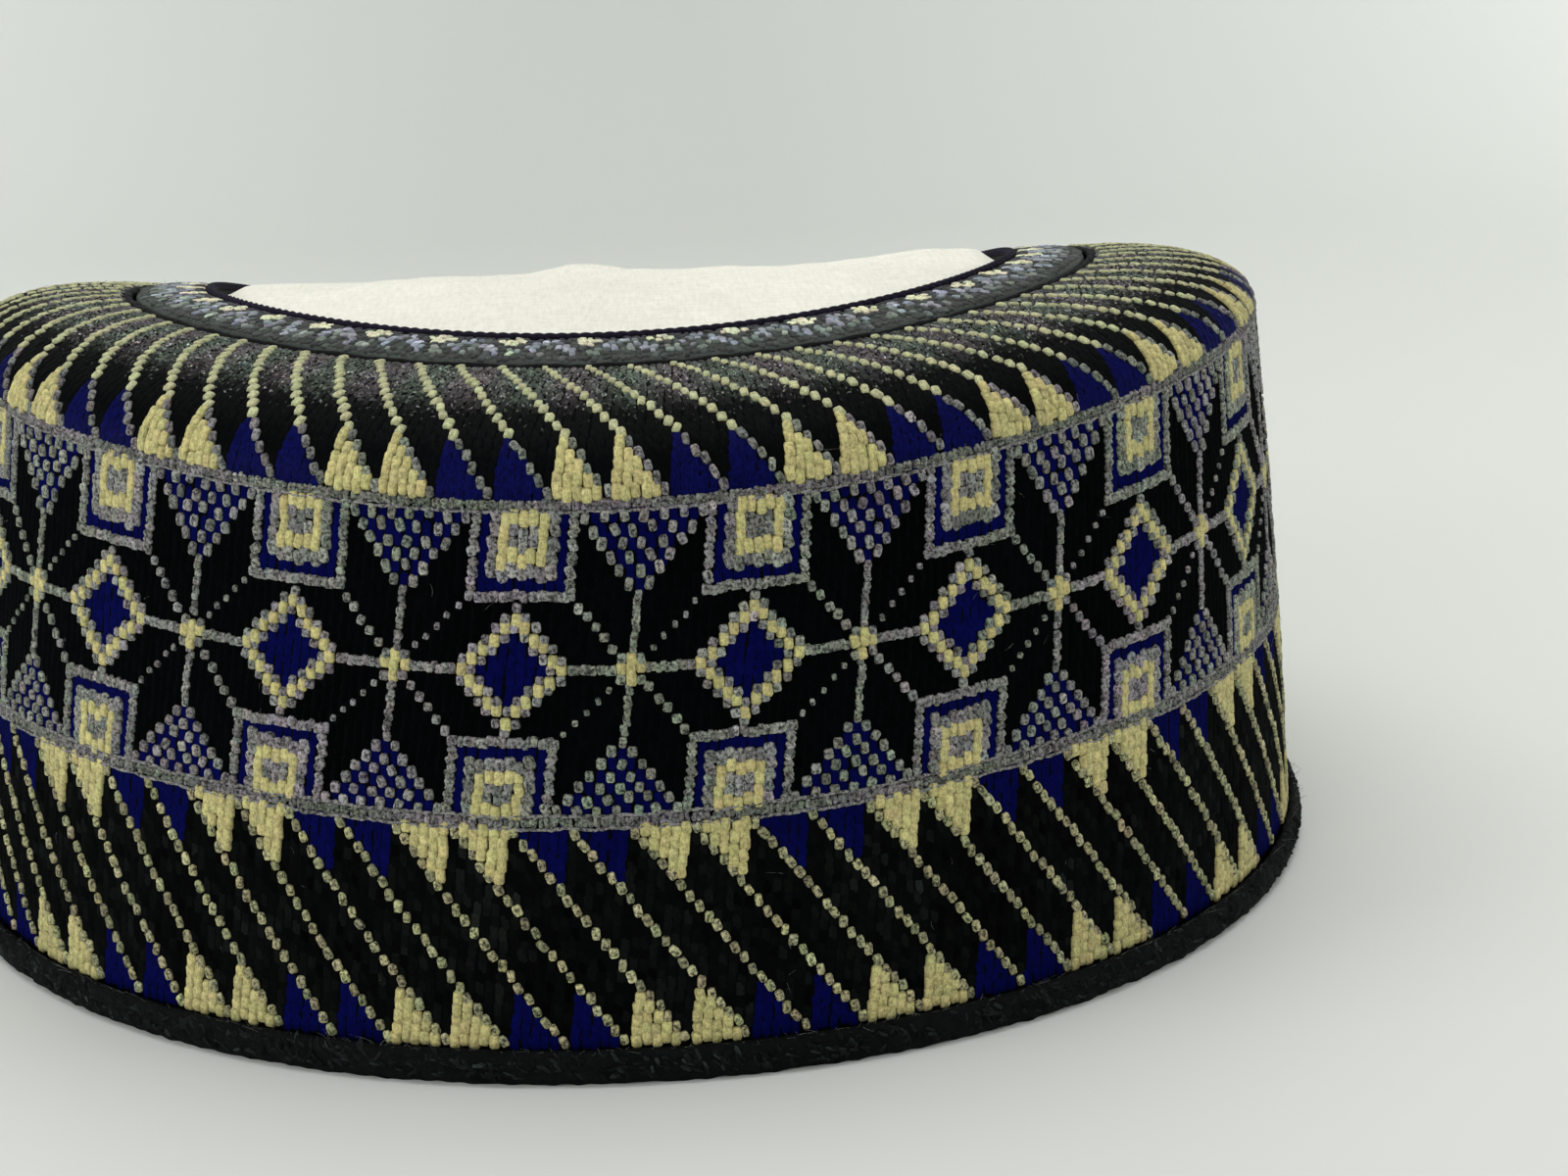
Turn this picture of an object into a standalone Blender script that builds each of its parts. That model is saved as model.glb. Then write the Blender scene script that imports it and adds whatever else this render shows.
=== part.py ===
"""A brimless oval cap: a stiff embroidered wall that turns over in a rounded shoulder, a rolled
binding round its rim, an embroidered flat ring inside the shoulder, and a bare cloth crown.

Metres, +Z up. The cap stands on its rim: the origin is the middle of the rim on the ground,
+X runs along the longer axis of the oval, -Y is the front and +Y is the back. Its top edge isn't
level. It rises to the two ends of the long axis and falls away at the back, as soft cloth does.
"""

import math
from collections import namedtuple

import bmesh
import bpy

CAP_LENGTH = 0.1858
CAP_WIDTH = 0.1802
CAP_HEIGHT = 0.0788
WALL_THICKNESS = 0.0026
WALL_LEAN = 0.0062
SHOULDER_WIDTH = 0.0205

BINDING_HEIGHT = 0.0040
BINDING_CLOTH = 0.0013
SOLE_THICKNESS = 0.0012

PIPING_DIAMETER = 0.0014
PIPING_PROUD = 0.0004
PIPING_SIDES = 6
RING_WIDTH = 0.0088
RING_THICKNESS = 0.0012
RING_CROWNING = 0.0003
CORD_DIAMETER = 0.0013
CORD_PROUD = 0.0004
CORD_SIDES = 6
CROWN_THICKNESS = 0.0016
CROWN_TUCK = 0.0050

GAP = 0.0003

STATIONS = 64
SHARP_ANGLE = math.radians(50)

Edge = namedtuple("Edge", "front end back fall tilt sag")
Place = namedtuple("Place", "along across")
WallRow = namedtuple("WallRow", "rise belly")
Dent = namedtuple("Dent", "turn reach depth")
Hump = namedtuple("Hump", "along across reach height")
BindingPoint = namedtuple("BindingPoint", "cloth rise")
RingPoint = namedtuple("RingPoint", "share drop")

# How high an edge runs round the cap, as shares of CAP_HEIGHT. The column fall is how much lower
# it gets, for each half width towards the back, as it passes an end of the long axis. Tilt is how
# much higher the +X end is than the middle of both ends, and sag is how deep the edge hangs
# between an end and the back.
EDGES = {
    "middle": Edge(0.386, 0.409, 0.348, 0.044, 0.000, 0.00),
    "shoulder": Edge(0.833, 0.908, 0.743, 0.070, 0.008, 0.04),
    "seam": Edge(0.973, 0.988, 0.826, 0.084, 0.006, 0.11),
    "ring_inside": Edge(0.991, 0.989, 0.846, 0.084, 0.006, 0.13),
}

# Points of the wall's section: rise is the share of the way from the foot to the shoulder, with
# 0.5 at the edge called middle, and belly is how far it swells, as a share of WALL_THICKNESS.
WALL_ROWS = (
    WallRow(0.00, 0.00),
    WallRow(0.25, 0.22),
    WallRow(0.50, 0.34),
    WallRow(0.75, 0.26),
    WallRow(1.00, 0.00),
)
SHOULDER_STEPS = 6
SHOULDER_POWER = 2.15
SHOULDER_SWELL = 0.0012

# Soft dents of the wall: place in turns round the oval from the +X end, half width in turns, and
# depth as a share of WALL_THICKNESS, negative for a swelling.
DENTS = (
    Dent(0.655, 0.060, 0.30),
    Dent(0.735, 0.055, -0.22),
    Dent(0.835, 0.050, 0.25),
    Dent(0.130, 0.090, 0.45),
    Dent(0.250, 0.070, -0.40),
    Dent(0.370, 0.080, 0.40),
)
DENT_SWING = 0.7 * math.pi

# Soft humps of the crown: place as shares of its half length and half width, reach as a share
# of its half width, and height as a share of CROWN_THICKNESS, negative for a hollow.
HUMPS = (
    Hump(0.00, 0.05, 2.40, 0.62),
    Hump(-0.08, 0.05, 0.15, 0.80),
    Hump(0.77, 0.02, 0.30, 0.80),
    Hump(-0.82, 0.02, 0.30, 0.30),
    Hump(-0.40, -0.45, 0.40, -0.35),
    Hump(0.25, 0.55, 0.40, -0.40),
)
HUMPS_FADE_FROM = 0.82
HUMPS_FADE_OVER = 0.06

# The share of the crown that shows inside the cord, and where its rings of points lie.
CROWN_SEEN = 0.88
CROWN_SHARES = (0.08, 0.17, 0.34, 0.50, 0.64, 0.76, 0.82, 0.85, CROWN_SEEN, 1.00)

# Outline of one leg of the binding, from its upper lip down its face to the sole: cloth is the
# distance from the wall as a share of BINDING_CLOTH, and rise is a share of BINDING_HEIGHT.
OUTER_LEG = (
    BindingPoint(0.00, 0.92),
    BindingPoint(0.50, 1.00),
    BindingPoint(1.00, 0.80),
    BindingPoint(1.15, 0.45),
    BindingPoint(1.00, 0.14),
    BindingPoint(0.55, 0.00),
)
INNER_LEG = (
    BindingPoint(0.00, 0.84),
    BindingPoint(0.50, 0.90),
    BindingPoint(1.00, 0.76),
    BindingPoint(1.00, 0.14),
    BindingPoint(0.55, 0.00),
)

# Upper face of the ring: share of RING_WIDTH, and drop as a share of RING_THICKNESS.
RING_TOP = (
    RingPoint(0.00, 0.3),
    RingPoint(0.08, 0.0),
    RingPoint(0.36, 0.0),
    RingPoint(0.64, 0.0),
    RingPoint(0.92, 0.0),
    RingPoint(1.00, 0.3),
)
RING_BOTTOM = (1.0, 0.5, 0.0)

MATERIALS = {
    "side_wall": ((0.012, 0.014, 0.016), 0.62),
    "rim_binding": ((0.010, 0.010, 0.011), 0.80),
    "seam_piping": ((0.010, 0.010, 0.013), 0.60),
    "crown_ring": ((0.045, 0.052, 0.055), 0.60),
    "inner_cord": ((0.020, 0.014, 0.028), 0.60),
    "crown_panel": ((0.80, 0.77, 0.69), 0.90),
}


def place_at(turn):
    """Place round the oval: along is 1 at the +X end, and across is -1 in front and 1 behind."""
    swing = 2 * math.pi * turn
    return Place(math.cos(swing), math.sin(swing))


def edge_height(name, place):
    """Height of an edge at a place round the cap."""
    front, end, back, fall, tilt, sag = (CAP_HEIGHT * share for share in EDGES[name])
    along, across = place
    height = end + tilt * along - fall * across
    if across < 0:
        return height + (front - end - fall) * across**2
    return height + (back - end + fall) * across**2 - sag * (across**2 - across**3)


def bump(distance, reach):
    """A smooth hump, 1 in the middle and 0 beyond its reach."""
    if abs(distance) >= reach:
        return 0.0
    return math.cos(0.5 * math.pi * distance / reach) ** 2


def dent_depth(turn):
    """How far the cloth is pushed in at a place round the oval."""
    depth = 0.0
    for dent in DENTS:
        away = (turn - dent.turn + 0.5) % 1.0 - 0.5
        depth += dent.depth * WALL_THICKNESS * bump(away, dent.reach)
    return depth


def shoulder_swell(place):
    """How much fuller the shoulder is at the ends of the long axis, most of all at the -X end."""
    return SHOULDER_SWELL * place.along**2 * (0.6 - 0.4 * place.along)


def wall_outside(turn):
    """Outer line of the wall's section from the rim to the seam, as (inset, height) pairs."""
    place = place_at(turn)
    dent = dent_depth(turn)
    foot = SOLE_THICKNESS + GAP
    middle = edge_height("middle", place)
    top = edge_height("shoulder", place)
    line = []
    for rise, belly in WALL_ROWS:
        if rise < 0.5:
            height = foot + (middle - foot) * 2 * rise
        else:
            height = middle + (top - middle) * (2 * rise - 1)
        pushed = dent * math.sin(DENT_SWING * rise)
        inset = WALL_LEAN * rise - WALL_THICKNESS * belly + pushed
        line.append((inset, height))
    start_inset, start_height = line[-1]
    seam = edge_height("seam", place)
    end_inset = WALL_LEAN + SHOULDER_WIDTH
    for step in range(1, SHOULDER_STEPS + 1):
        swing = 0.5 * math.pi * step / SHOULDER_STEPS
        over = 1.0 - math.cos(swing) ** (2 / SHOULDER_POWER)
        up = math.sin(swing) ** (2 / SHOULDER_POWER)
        swell = shoulder_swell(place) * math.sin(2 * swing)
        line.append((
            start_inset + (end_inset - start_inset) * over,
            start_height + (seam - start_height) * up + swell,
        ))
    return line


def offset_line(line, distance):
    """The same line moved to its inner side: inwards and down."""
    moved = []
    for index, (inset, height) in enumerate(line):
        before = line[max(index - 1, 0)]
        after = line[min(index + 1, len(line) - 1)]
        run = after[0] - before[0]
        rise = after[1] - before[1]
        length = math.hypot(run, rise)
        moved.append((inset + distance * rise / length, height - distance * run / length))
    return moved


def top_heading(place):
    """Unit direction, as (inset, height), in which the ring runs inwards from the seam."""
    rise = edge_height("ring_inside", place) - edge_height("seam", place)
    run = PIPING_DIAMETER + 2 * GAP + RING_WIDTH
    length = math.hypot(run, rise)
    return run / length, rise / length


def from_seam(place, inwards, up):
    """A point measured from the seam: along the top towards the middle, and square to it."""
    run, rise = top_heading(place)
    inset = WALL_LEAN + SHOULDER_WIDTH + inwards * run - up * rise
    return inset, edge_height("seam", place) + inwards * rise + up * run


def round_section(place, inwards, up, diameter, sides):
    """Closed round section of a cord that lies on the top."""
    points = []
    for side in range(sides):
        swing = 2 * math.pi * (side + 0.5) / sides
        points.append(from_seam(
            place,
            inwards + 0.5 * diameter * math.cos(swing),
            up + 0.5 * diameter * math.sin(swing),
        ))
    return points


def wall_section(turn):
    outside = wall_outside(turn)
    inside = offset_line(outside, WALL_THICKNESS)
    inside[0] = (inside[0][0], outside[0][1])
    return outside + inside[::-1]


def binding_section(_turn):
    """A folded strip that wraps the wall's lower edge, with a flat sole."""
    slot_inside = WALL_THICKNESS + GAP
    outer = [(-GAP - p.cloth * BINDING_CLOTH, p.rise * BINDING_HEIGHT) for p in OUTER_LEG]
    inner = [(slot_inside + p.cloth * BINDING_CLOTH, p.rise * BINDING_HEIGHT) for p in INNER_LEG]
    slot_floor = [(slot_inside, SOLE_THICKNESS), (-GAP, SOLE_THICKNESS)]
    return outer + inner[::-1] + slot_floor


def piping_section(turn):
    inwards = GAP + 0.5 * PIPING_DIAMETER
    up = PIPING_PROUD - 0.5 * PIPING_DIAMETER
    return round_section(place_at(turn), inwards, up, PIPING_DIAMETER, PIPING_SIDES)


def ring_start():
    return PIPING_DIAMETER + 2 * GAP


def ring_section(turn):
    place = place_at(turn)
    top = []
    for point in RING_TOP:
        inwards = ring_start() + RING_WIDTH * point.share
        crowning = RING_CROWNING * math.sin(math.pi * point.share)
        top.append(from_seam(place, inwards, crowning - point.drop * RING_THICKNESS))
    bottom = [
        from_seam(place, ring_start() + RING_WIDTH * share, -RING_THICKNESS)
        for share in RING_BOTTOM
    ]
    return top + bottom


def cord_section(turn):
    inwards = ring_start() + RING_WIDTH + GAP + 0.5 * CORD_DIAMETER
    up = CORD_PROUD - 0.5 * CORD_DIAMETER
    return round_section(place_at(turn), inwards, up, CORD_DIAMETER, CORD_SIDES)


def plan_point(turn, inset):
    """Place on the oval, a given distance inside the wall's outer foot line."""
    swing = 2 * math.pi * turn
    return (0.5 * CAP_LENGTH - inset) * math.cos(swing), (0.5 * CAP_WIDTH - inset) * math.sin(swing)


def finish(name, mesh_points, faces):
    """Make the object, its faces pointing out, smooth where it is round."""
    mesh = bpy.data.meshes.new(name)
    mesh.from_pydata(mesh_points, [], faces)
    shape = bmesh.new()
    shape.from_mesh(mesh)
    bmesh.ops.recalc_face_normals(shape, faces=shape.faces)
    shape.to_mesh(mesh)
    shape.free()
    mesh.shade_smooth()
    mesh.set_sharp_from_angle(angle=SHARP_ANGLE)
    piece = bpy.data.objects.new(name, mesh)
    bpy.context.collection.objects.link(piece)
    color, roughness = MATERIALS[name]
    material = bpy.data.materials.new(name)
    material.use_nodes = True
    shader = material.node_tree.nodes["Principled BSDF"]
    shader.inputs["Base Color"].default_value = (*color, 1.0)
    shader.inputs["Roughness"].default_value = roughness
    shader.inputs["Metallic"].default_value = 0.0
    mesh.materials.append(material)
    return piece


def make_hoop(name, section_at):
    """A closed ring round the cap, from its section at each station."""
    points = []
    faces = []
    for station in range(STATIONS):
        turn = station / STATIONS
        section = section_at(turn)
        for inset, height in section:
            points.append((*plan_point(turn, inset), height))
    count = len(section)
    for station in range(STATIONS):
        here = station * count
        there = (station + 1) % STATIONS * count
        for index in range(count):
            after = (index + 1) % count
            faces.append((here + index, there + index, there + after, here + after))
    return finish(name, points, faces)


def crown_edge_inset():
    """Inset of the crown's hidden edge, which is tucked under the ring."""
    along = ring_start() + RING_WIDTH - CROWN_TUCK
    return WALL_LEAN + SHOULDER_WIDTH + along


def crown_top(along, across):
    """Height of the crown's upper face at shares of its half length and half width."""
    out = math.hypot(along, across)
    beside = Place(along / max(out, CROWN_SEEN), across / max(out, CROWN_SEEN))
    seat = edge_height("ring_inside", beside) - RING_THICKNESS - GAP
    rise = edge_height("ring_inside", beside) - edge_height("seam", beside)
    tucked = max(out - CROWN_SEEN, 0.0) / (1 - CROWN_SEEN)
    seat -= tucked * rise * CROWN_TUCK / (ring_start() + RING_WIDTH)
    hump = 0.0
    for row in HUMPS:
        away = math.hypot(along - row.along, across - row.across)
        hump += row.height * CROWN_THICKNESS * bump(away, row.reach)
    return seat + hump * bump(max(out - HUMPS_FADE_FROM, 0.0), HUMPS_FADE_OVER)


def make_crown(name):
    """The bare cloth panel, stretched between the two ends, so it is straight along X."""
    inset = crown_edge_inset()
    half_length = 0.5 * CAP_LENGTH - inset
    half_width = 0.5 * CAP_WIDTH - inset
    rings = len(CROWN_SHARES)
    points = []
    faces = []
    for lower in (0.0, CROWN_THICKNESS):
        base = len(points)
        points.append((0.0, 0.0, crown_top(0.0, 0.0) - lower))
        for out in CROWN_SHARES:
            for station in range(STATIONS):
                swing = 2 * math.pi * station / STATIONS
                along, across = out * math.cos(swing), out * math.sin(swing)
                height = crown_top(along, across) - lower
                points.append((half_length * along, half_width * across, height))
        for station in range(STATIONS):
            after = (station + 1) % STATIONS
            faces.append((base, base + 1 + station, base + 1 + after))
            for ring in range(rings - 1):
                here = base + 1 + ring * STATIONS
                there = here + STATIONS
                faces.append((here + station, there + station, there + after, here + after))
    layer = 1 + rings * STATIONS
    edge = 1 + (rings - 1) * STATIONS
    for station in range(STATIONS):
        after = (station + 1) % STATIONS
        faces.append((edge + station, edge + after, layer + edge + after, layer + edge + station))
    return finish(name, points, faces)


def main():
    for old in list(bpy.data.objects):
        bpy.data.objects.remove(old)
    make_hoop("side_wall", wall_section)
    make_hoop("rim_binding", binding_section)
    make_hoop("seam_piping", piping_section)
    make_hoop("crown_ring", ring_section)
    make_hoop("inner_cord", cord_section)
    make_crown("crown_panel")


main()
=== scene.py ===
"""Looks of an embroidered brimless cap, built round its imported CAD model.

The wall carries a raised stitch for each cell of a charted pattern: 20 repeats round the cap,
24 columns each, in three bands that two narrow lines part. Metres, +Z up, -Y is the front.
A place on the wall is its turn, which counts once round from the +X end, and its level: 0 at
the rim, 1 at the lower line, 2 at the upper line and 3 at the seam of the top.
"""

import math
from collections import namedtuple
from itertools import product

import bpy
import numpy as np
from mathutils import Matrix, Vector, noise


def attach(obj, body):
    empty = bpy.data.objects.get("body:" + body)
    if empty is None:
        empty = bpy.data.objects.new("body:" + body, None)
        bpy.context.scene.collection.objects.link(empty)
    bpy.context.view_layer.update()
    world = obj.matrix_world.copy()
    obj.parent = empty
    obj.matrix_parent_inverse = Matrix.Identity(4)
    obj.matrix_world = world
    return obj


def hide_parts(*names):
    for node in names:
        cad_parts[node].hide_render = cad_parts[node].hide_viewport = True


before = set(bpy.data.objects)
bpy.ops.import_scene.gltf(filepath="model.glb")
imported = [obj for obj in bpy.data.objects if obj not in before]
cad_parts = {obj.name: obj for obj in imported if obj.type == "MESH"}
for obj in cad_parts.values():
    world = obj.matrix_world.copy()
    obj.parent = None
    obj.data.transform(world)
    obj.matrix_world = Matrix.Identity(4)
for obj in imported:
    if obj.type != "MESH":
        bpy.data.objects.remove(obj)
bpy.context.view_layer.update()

# Sizes that part.py gives the solids.
CAP_LENGTH = 0.1858
CAP_WIDTH = 0.1802
CAP_HEIGHT = 0.0788
WALL_THICKNESS = 0.0026
WALL_LEAN = 0.0062
WALL_BELLY = 0.34
SHOULDER_WIDTH = 0.0205
SHOULDER_POWER = 2.15
SHOULDER_SWELL = 0.0012
BINDING_HEIGHT = 0.0040
BINDING_CLOTH = 0.0013
SOLE_THICKNESS = 0.0012
PIPING_DIAMETER = 0.0014
PIPING_PROUD = 0.0004
RING_WIDTH = 0.0088
RING_THICKNESS = 0.0012
RING_CROWNING = 0.0003
CORD_DIAMETER = 0.0013
CORD_PROUD = 0.0004
CROWN_THICKNESS = 0.0016
CROWN_TUCK = 0.0050
GAP = 0.0003
RING_START = PIPING_DIAMETER + 2 * GAP
WALL_FOOT = SOLE_THICKNESS + GAP
DENT_SWING = 0.7 * math.pi

Edge = namedtuple("Edge", "front end back fall tilt sag")
Dent = namedtuple("Dent", "turn reach depth")
Hump = namedtuple("Hump", "along across reach height")
Row = namedtuple("Row", "band share height above symbols")
Look = namedtuple("Look", "thread beside stacked wide high lift tilt")

# Edges are shares of the cap's height; dents and humps are so many cloths deep or high.
EDGES = {
    "middle": Edge(0.386, 0.409, 0.348, 0.044, 0.000, 0.00),
    "shoulder": Edge(0.833, 0.908, 0.743, 0.070, 0.008, 0.04),
    "seam": Edge(0.973, 0.988, 0.826, 0.084, 0.006, 0.11),
    "ring_inside": Edge(0.991, 0.989, 0.846, 0.084, 0.006, 0.13),
}
DENTS = (
    Dent(0.655, 0.060, 0.30),
    Dent(0.735, 0.055, -0.22),
    Dent(0.835, 0.050, 0.25),
    Dent(0.130, 0.090, 0.45),
    Dent(0.250, 0.070, -0.40),
    Dent(0.370, 0.080, 0.40),
)
HUMPS = (
    Hump(0.00, 0.05, 2.40, 0.62),
    Hump(-0.08, 0.05, 0.15, 0.80),
    Hump(0.77, 0.02, 0.30, 0.80),
    Hump(-0.82, 0.02, 0.30, 0.30),
    Hump(-0.40, -0.45, 0.40, -0.35),
    Hump(0.25, 0.55, 0.40, -0.40),
)
CROWN_SEEN = 0.88
HUMPS_FADE_FROM = 0.82
HUMPS_FADE_OVER = 0.06

# The stitch grid.
REPEATS = 20
REPEAT_COLUMNS = 24
COLUMNS = REPEATS * REPEAT_COLUMNS
FRONT_TURN = 0.75
PITCH_SWELL = 0.058
SHEAR = 0.15

# One repeat of the middle band: the star's column is first, the diamond is in the middle.
# A letter or mark says what is in a cell, and the table STITCHES below what it looks like.
MIDDLE_CHART = """
gbgbgbg!bqcccccqb!gbgbgb
bgbgbg.!bqcooocqb!.gbgbg
gbgbg..!bqcooocqb!..gbgb
bgbg...!bqcccccqb!...gbg
gbg....!bqqqqqqqb!....gb
bg.....!bbbbbbbbb!.....g
|......===========......
|.....d.....g.....D.....
|....d.....gcg.....D....
|...d.....gcgcg.....D...
|..d.....gcgbgcg.....D..
|.d.....gcgbbbgcg.....D.
cg.....gcgbbbbbgcg.....g
cc----gcgbbbbbbbgcg----c
cg.....gcgbbbbbgcg.....g
|.D.....gcgbbbgcg.....d.
|..D.....gcgbgcg.....d..
|...D.....gcgcg.....d...
|....D.....gcg.....d....
|.....D.....g.....d.....
|......===========......
bg.....!bbbbbbbbb!.....g
gbg....!bqqqqqqqb!....gb
bgbg...!bqcccccqb!...gbg
gbgbg..!bqcooocqb!..gbgb
bgbgbg.!bqcooocqb!.gbgbg
gbgbgbg!bqcccccqb!gbgbgb
""".split()
STAR_ROW = 13

# Heights of the chart's rows against each other, from the top row down, and of half a line.
MIDDLE_HEIGHTS = [13.6] * 6 + [10.8] * 15 + [12.1] * 6
MIDDLE_LINE = 6.0

# Rows of the other two bands, the line's share of each, and where they begin, in rows from the star.
LOWER_ROWS = 20
UPPER_ROWS = 18
LINE_SHARE = 0.024
FIRST_PAST_LINE = 15


def srgb(red, green, blue):
    """Linear colour from the usual 0 to 255 numbers."""
    values = np.array([red, green, blue]) / 255.0
    return np.where(values <= 0.04045, values / 12.92, ((values + 0.055) / 1.055) ** 2.4)


# The surface of the cap.


def edge_height(name, along, across):
    """Height of an edge: along is 1 at the +X end, across is -1 in front and 1 behind."""
    front, end, back, fall, tilt, sag = (CAP_HEIGHT * share for share in EDGES[name])
    far = np.where(across < 0, front - end - fall, back - end + fall)
    hanging = sag * np.where(across < 0, 0.0, across**2 - across**3)
    return end + tilt * along - fall * across + far * across**2 - hanging


def edge_height_at(name, turn):
    return edge_height(name, np.cos(2 * math.pi * turn), np.sin(2 * math.pi * turn))


def bump(distance, reach):
    inside = np.abs(distance) < reach
    return np.where(inside, np.cos(0.5 * math.pi * distance / reach) ** 2, 0.0)


def turns_round(stations):
    """Evenly spaced turns, once round the cap."""
    return np.arange(stations) / stations


def dent_depth(turn):
    depth = np.zeros_like(turn)
    for dent in DENTS:
        away = (turn - dent.turn + 0.5) % 1.0 - 0.5
        depth += dent.depth * WALL_THICKNESS * bump(away, dent.reach)
    return depth


def wall_profile(turn, level):
    """Inset and height of the wall's outer face."""
    middle = edge_height_at("middle", turn)
    top = edge_height_at("shoulder", turn)
    seam = edge_height_at("seam", turn)
    rise = np.clip(level, 0, 2) / 2
    height = WALL_FOOT + (middle - WALL_FOOT) * np.clip(level, 0, 1)
    height += (top - middle) * np.clip(level - 1, 0, 1)
    inset = WALL_LEAN * rise - WALL_BELLY * WALL_THICKNESS * np.sin(math.pi * rise)
    inset += dent_depth(turn) * np.sin(DENT_SWING * rise)
    swing = 0.5 * math.pi * np.clip(level - 2, 0, 1)
    over = 1 - np.clip(np.cos(swing), 0, 1) ** (2 / SHOULDER_POWER)
    up = np.sin(swing) ** (2 / SHOULDER_POWER)
    inset += (WALL_LEAN + SHOULDER_WIDTH - inset) * over
    along = np.cos(2 * math.pi * turn)
    swell = SHOULDER_SWELL * along**2 * (0.6 - 0.4 * along) * np.sin(2 * swing)
    return inset, height + (seam - top) * up + swell


def plan_points(turn, inset, height):
    swing = 2 * math.pi * turn
    x = (0.5 * CAP_LENGTH - inset) * np.cos(swing)
    y = (0.5 * CAP_WIDTH - inset) * np.sin(swing)
    return np.stack([x, y, height + 0 * x], axis=-1)


def wall_points(turn, level):
    return plan_points(turn, *wall_profile(turn, level))


def unit(vectors):
    return vectors / np.linalg.norm(vectors, axis=-1, keepdims=True)


def frames(points_at, turn, level, low, high):
    """Place on a surface, and its directions along the rim, up the surface and outwards."""
    step = 0.002
    east = points_at(turn + step, level) - points_at(turn - step, level)
    above = np.clip(level + 0.02, low, high)
    below = np.clip(level - 0.02, low, high)
    north = points_at(turn, above) - points_at(turn, below)
    east = unit(east)
    north = unit(north - east * np.sum(north * east, axis=-1, keepdims=True))
    return points_at(turn, level), east, north, np.cross(east, north)


def wall_frames(turn, level):
    return frames(wall_points, turn, level, 0, 3)


def seam_offset(turn, along, up):
    """A point measured from the seam: along the top towards the middle, and square to it."""
    seam = edge_height_at("seam", turn)
    rise = edge_height_at("ring_inside", turn) - seam
    run = RING_START + RING_WIDTH
    length = np.hypot(run, rise)
    run, rise = run / length, rise / length
    inset = WALL_LEAN + SHOULDER_WIDTH + along * run - up * rise
    height = seam + along * rise + up * run
    return plan_points(turn, inset, height)


def seam_frame(turn, along, up):
    """Such a point, with the directions towards the middle and square to the top."""
    step = 0.001
    centre = seam_offset(turn, along, up)
    inward = unit(seam_offset(turn, along + step, up) - centre)
    upward = unit(seam_offset(turn, along, up + step) - centre)
    return centre, inward, upward


def ring_points(turn, share):
    crowning = RING_CROWNING * np.sin(math.pi * np.clip(share, 0, 1))
    return seam_offset(turn, RING_START + RING_WIDTH * share, crowning)


TABLE_TURNS = turns_round(128)
TABLE_LEVELS = np.linspace(2, 3, 60)


def shoulder_runs():
    """Share of the way over the shoulder, at each of the table's turns and levels."""
    turn, level = np.meshgrid(TABLE_TURNS, TABLE_LEVELS, indexing="ij")
    inset, height = wall_profile(turn, level)
    steps = np.hypot(np.diff(inset, axis=1), np.diff(height, axis=1))
    run = np.insert(np.cumsum(steps, axis=1), 0, 0.0, axis=1)
    return run / run[:, -1:]


SHOULDER_RUNS = shoulder_runs()


def band_level(band, share, turn):
    """Level at a share of the way up a band, at each turn."""
    share = min(max(share, 0.0), 1.0)
    if band == "lower":
        start = (BINDING_HEIGHT - WALL_FOOT) / (edge_height_at("middle", turn) - WALL_FOOT)
        return start + (1 - start) * share
    if band == "middle":
        return 1 + share + 0 * turn
    levels = [np.interp(share, run, TABLE_LEVELS) for run in SHOULDER_RUNS]
    return np.interp(turn, TABLE_TURNS, levels, period=1)


def shoulder_share(turn, level):
    """Share of the way over the shoulder, from the upper line to the seam."""
    run = np.array([np.interp(level, TABLE_LEVELS, row) for row in SHOULDER_RUNS[::8]])
    part = np.round(turn * len(run)).astype(int) % len(run)
    return run[part, np.arange(len(turn))]


def column_turn(column):
    """Turn of a stitch column, counted from the star at the front."""
    part = column / COLUMNS
    return FRONT_TURN + part - PITCH_SWELL * np.sin(4 * math.pi * part) / (4 * math.pi)


# Meshes.


def new_object(name, points, faces, material, colours=None, uvs=None):
    """A smooth piece from arrays; faces is a list of arrays with three or four columns."""
    corners = np.concatenate([part.ravel() for part in faces]).astype(np.int32)
    sizes = np.concatenate([np.full(len(part), part.shape[1]) for part in faces])
    mesh = bpy.data.meshes.new(name)
    mesh.vertices.add(len(points))
    mesh.vertices.foreach_set("co", np.asarray(points, np.float32).ravel())
    mesh.loops.add(len(corners))
    mesh.loops.foreach_set("vertex_index", corners)
    mesh.polygons.add(len(sizes))
    mesh.polygons.foreach_set("loop_start", (np.cumsum(sizes) - sizes).astype(np.int32))
    mesh.update(calc_edges=True)
    mesh.validate()
    mesh.shade_smooth()
    if colours is not None:
        layer = mesh.color_attributes.new("tint", "FLOAT_COLOR", "POINT")
        opaque = np.column_stack([colours, np.ones(len(colours))])
        layer.data.foreach_set("color", opaque.astype(np.float32).ravel())
    if uvs is not None:
        layer = mesh.uv_layers.new(name="thread")
        layer.data.foreach_set("uv", uvs[corners].astype(np.float32).ravel())
    mesh.materials.append(material)
    piece = bpy.data.objects.new(name, mesh)
    bpy.context.scene.collection.objects.link(piece)
    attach(piece, "root")
    return piece


def grid_faces(rows, columns, closed=False, start=0):
    """Quads between rows of points, each a loop; closed joins the last row to the first."""
    row = np.arange(rows if closed else rows - 1)
    row, column = (grid.ravel() for grid in np.meshgrid(row, np.arange(columns), indexing="ij"))
    here, there = row * columns, (row + 1) % rows * columns
    after = (column + 1) % columns
    return start + np.stack([here + column, here + after, there + after, there + column], axis=1)


def copied_faces(faces, starts):
    """The faces of a template, for each copy whose points begin at one of the starts."""
    return [(starts[:, None, None] + part[None]).reshape(-1, part.shape[1]) for part in faces]


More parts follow.
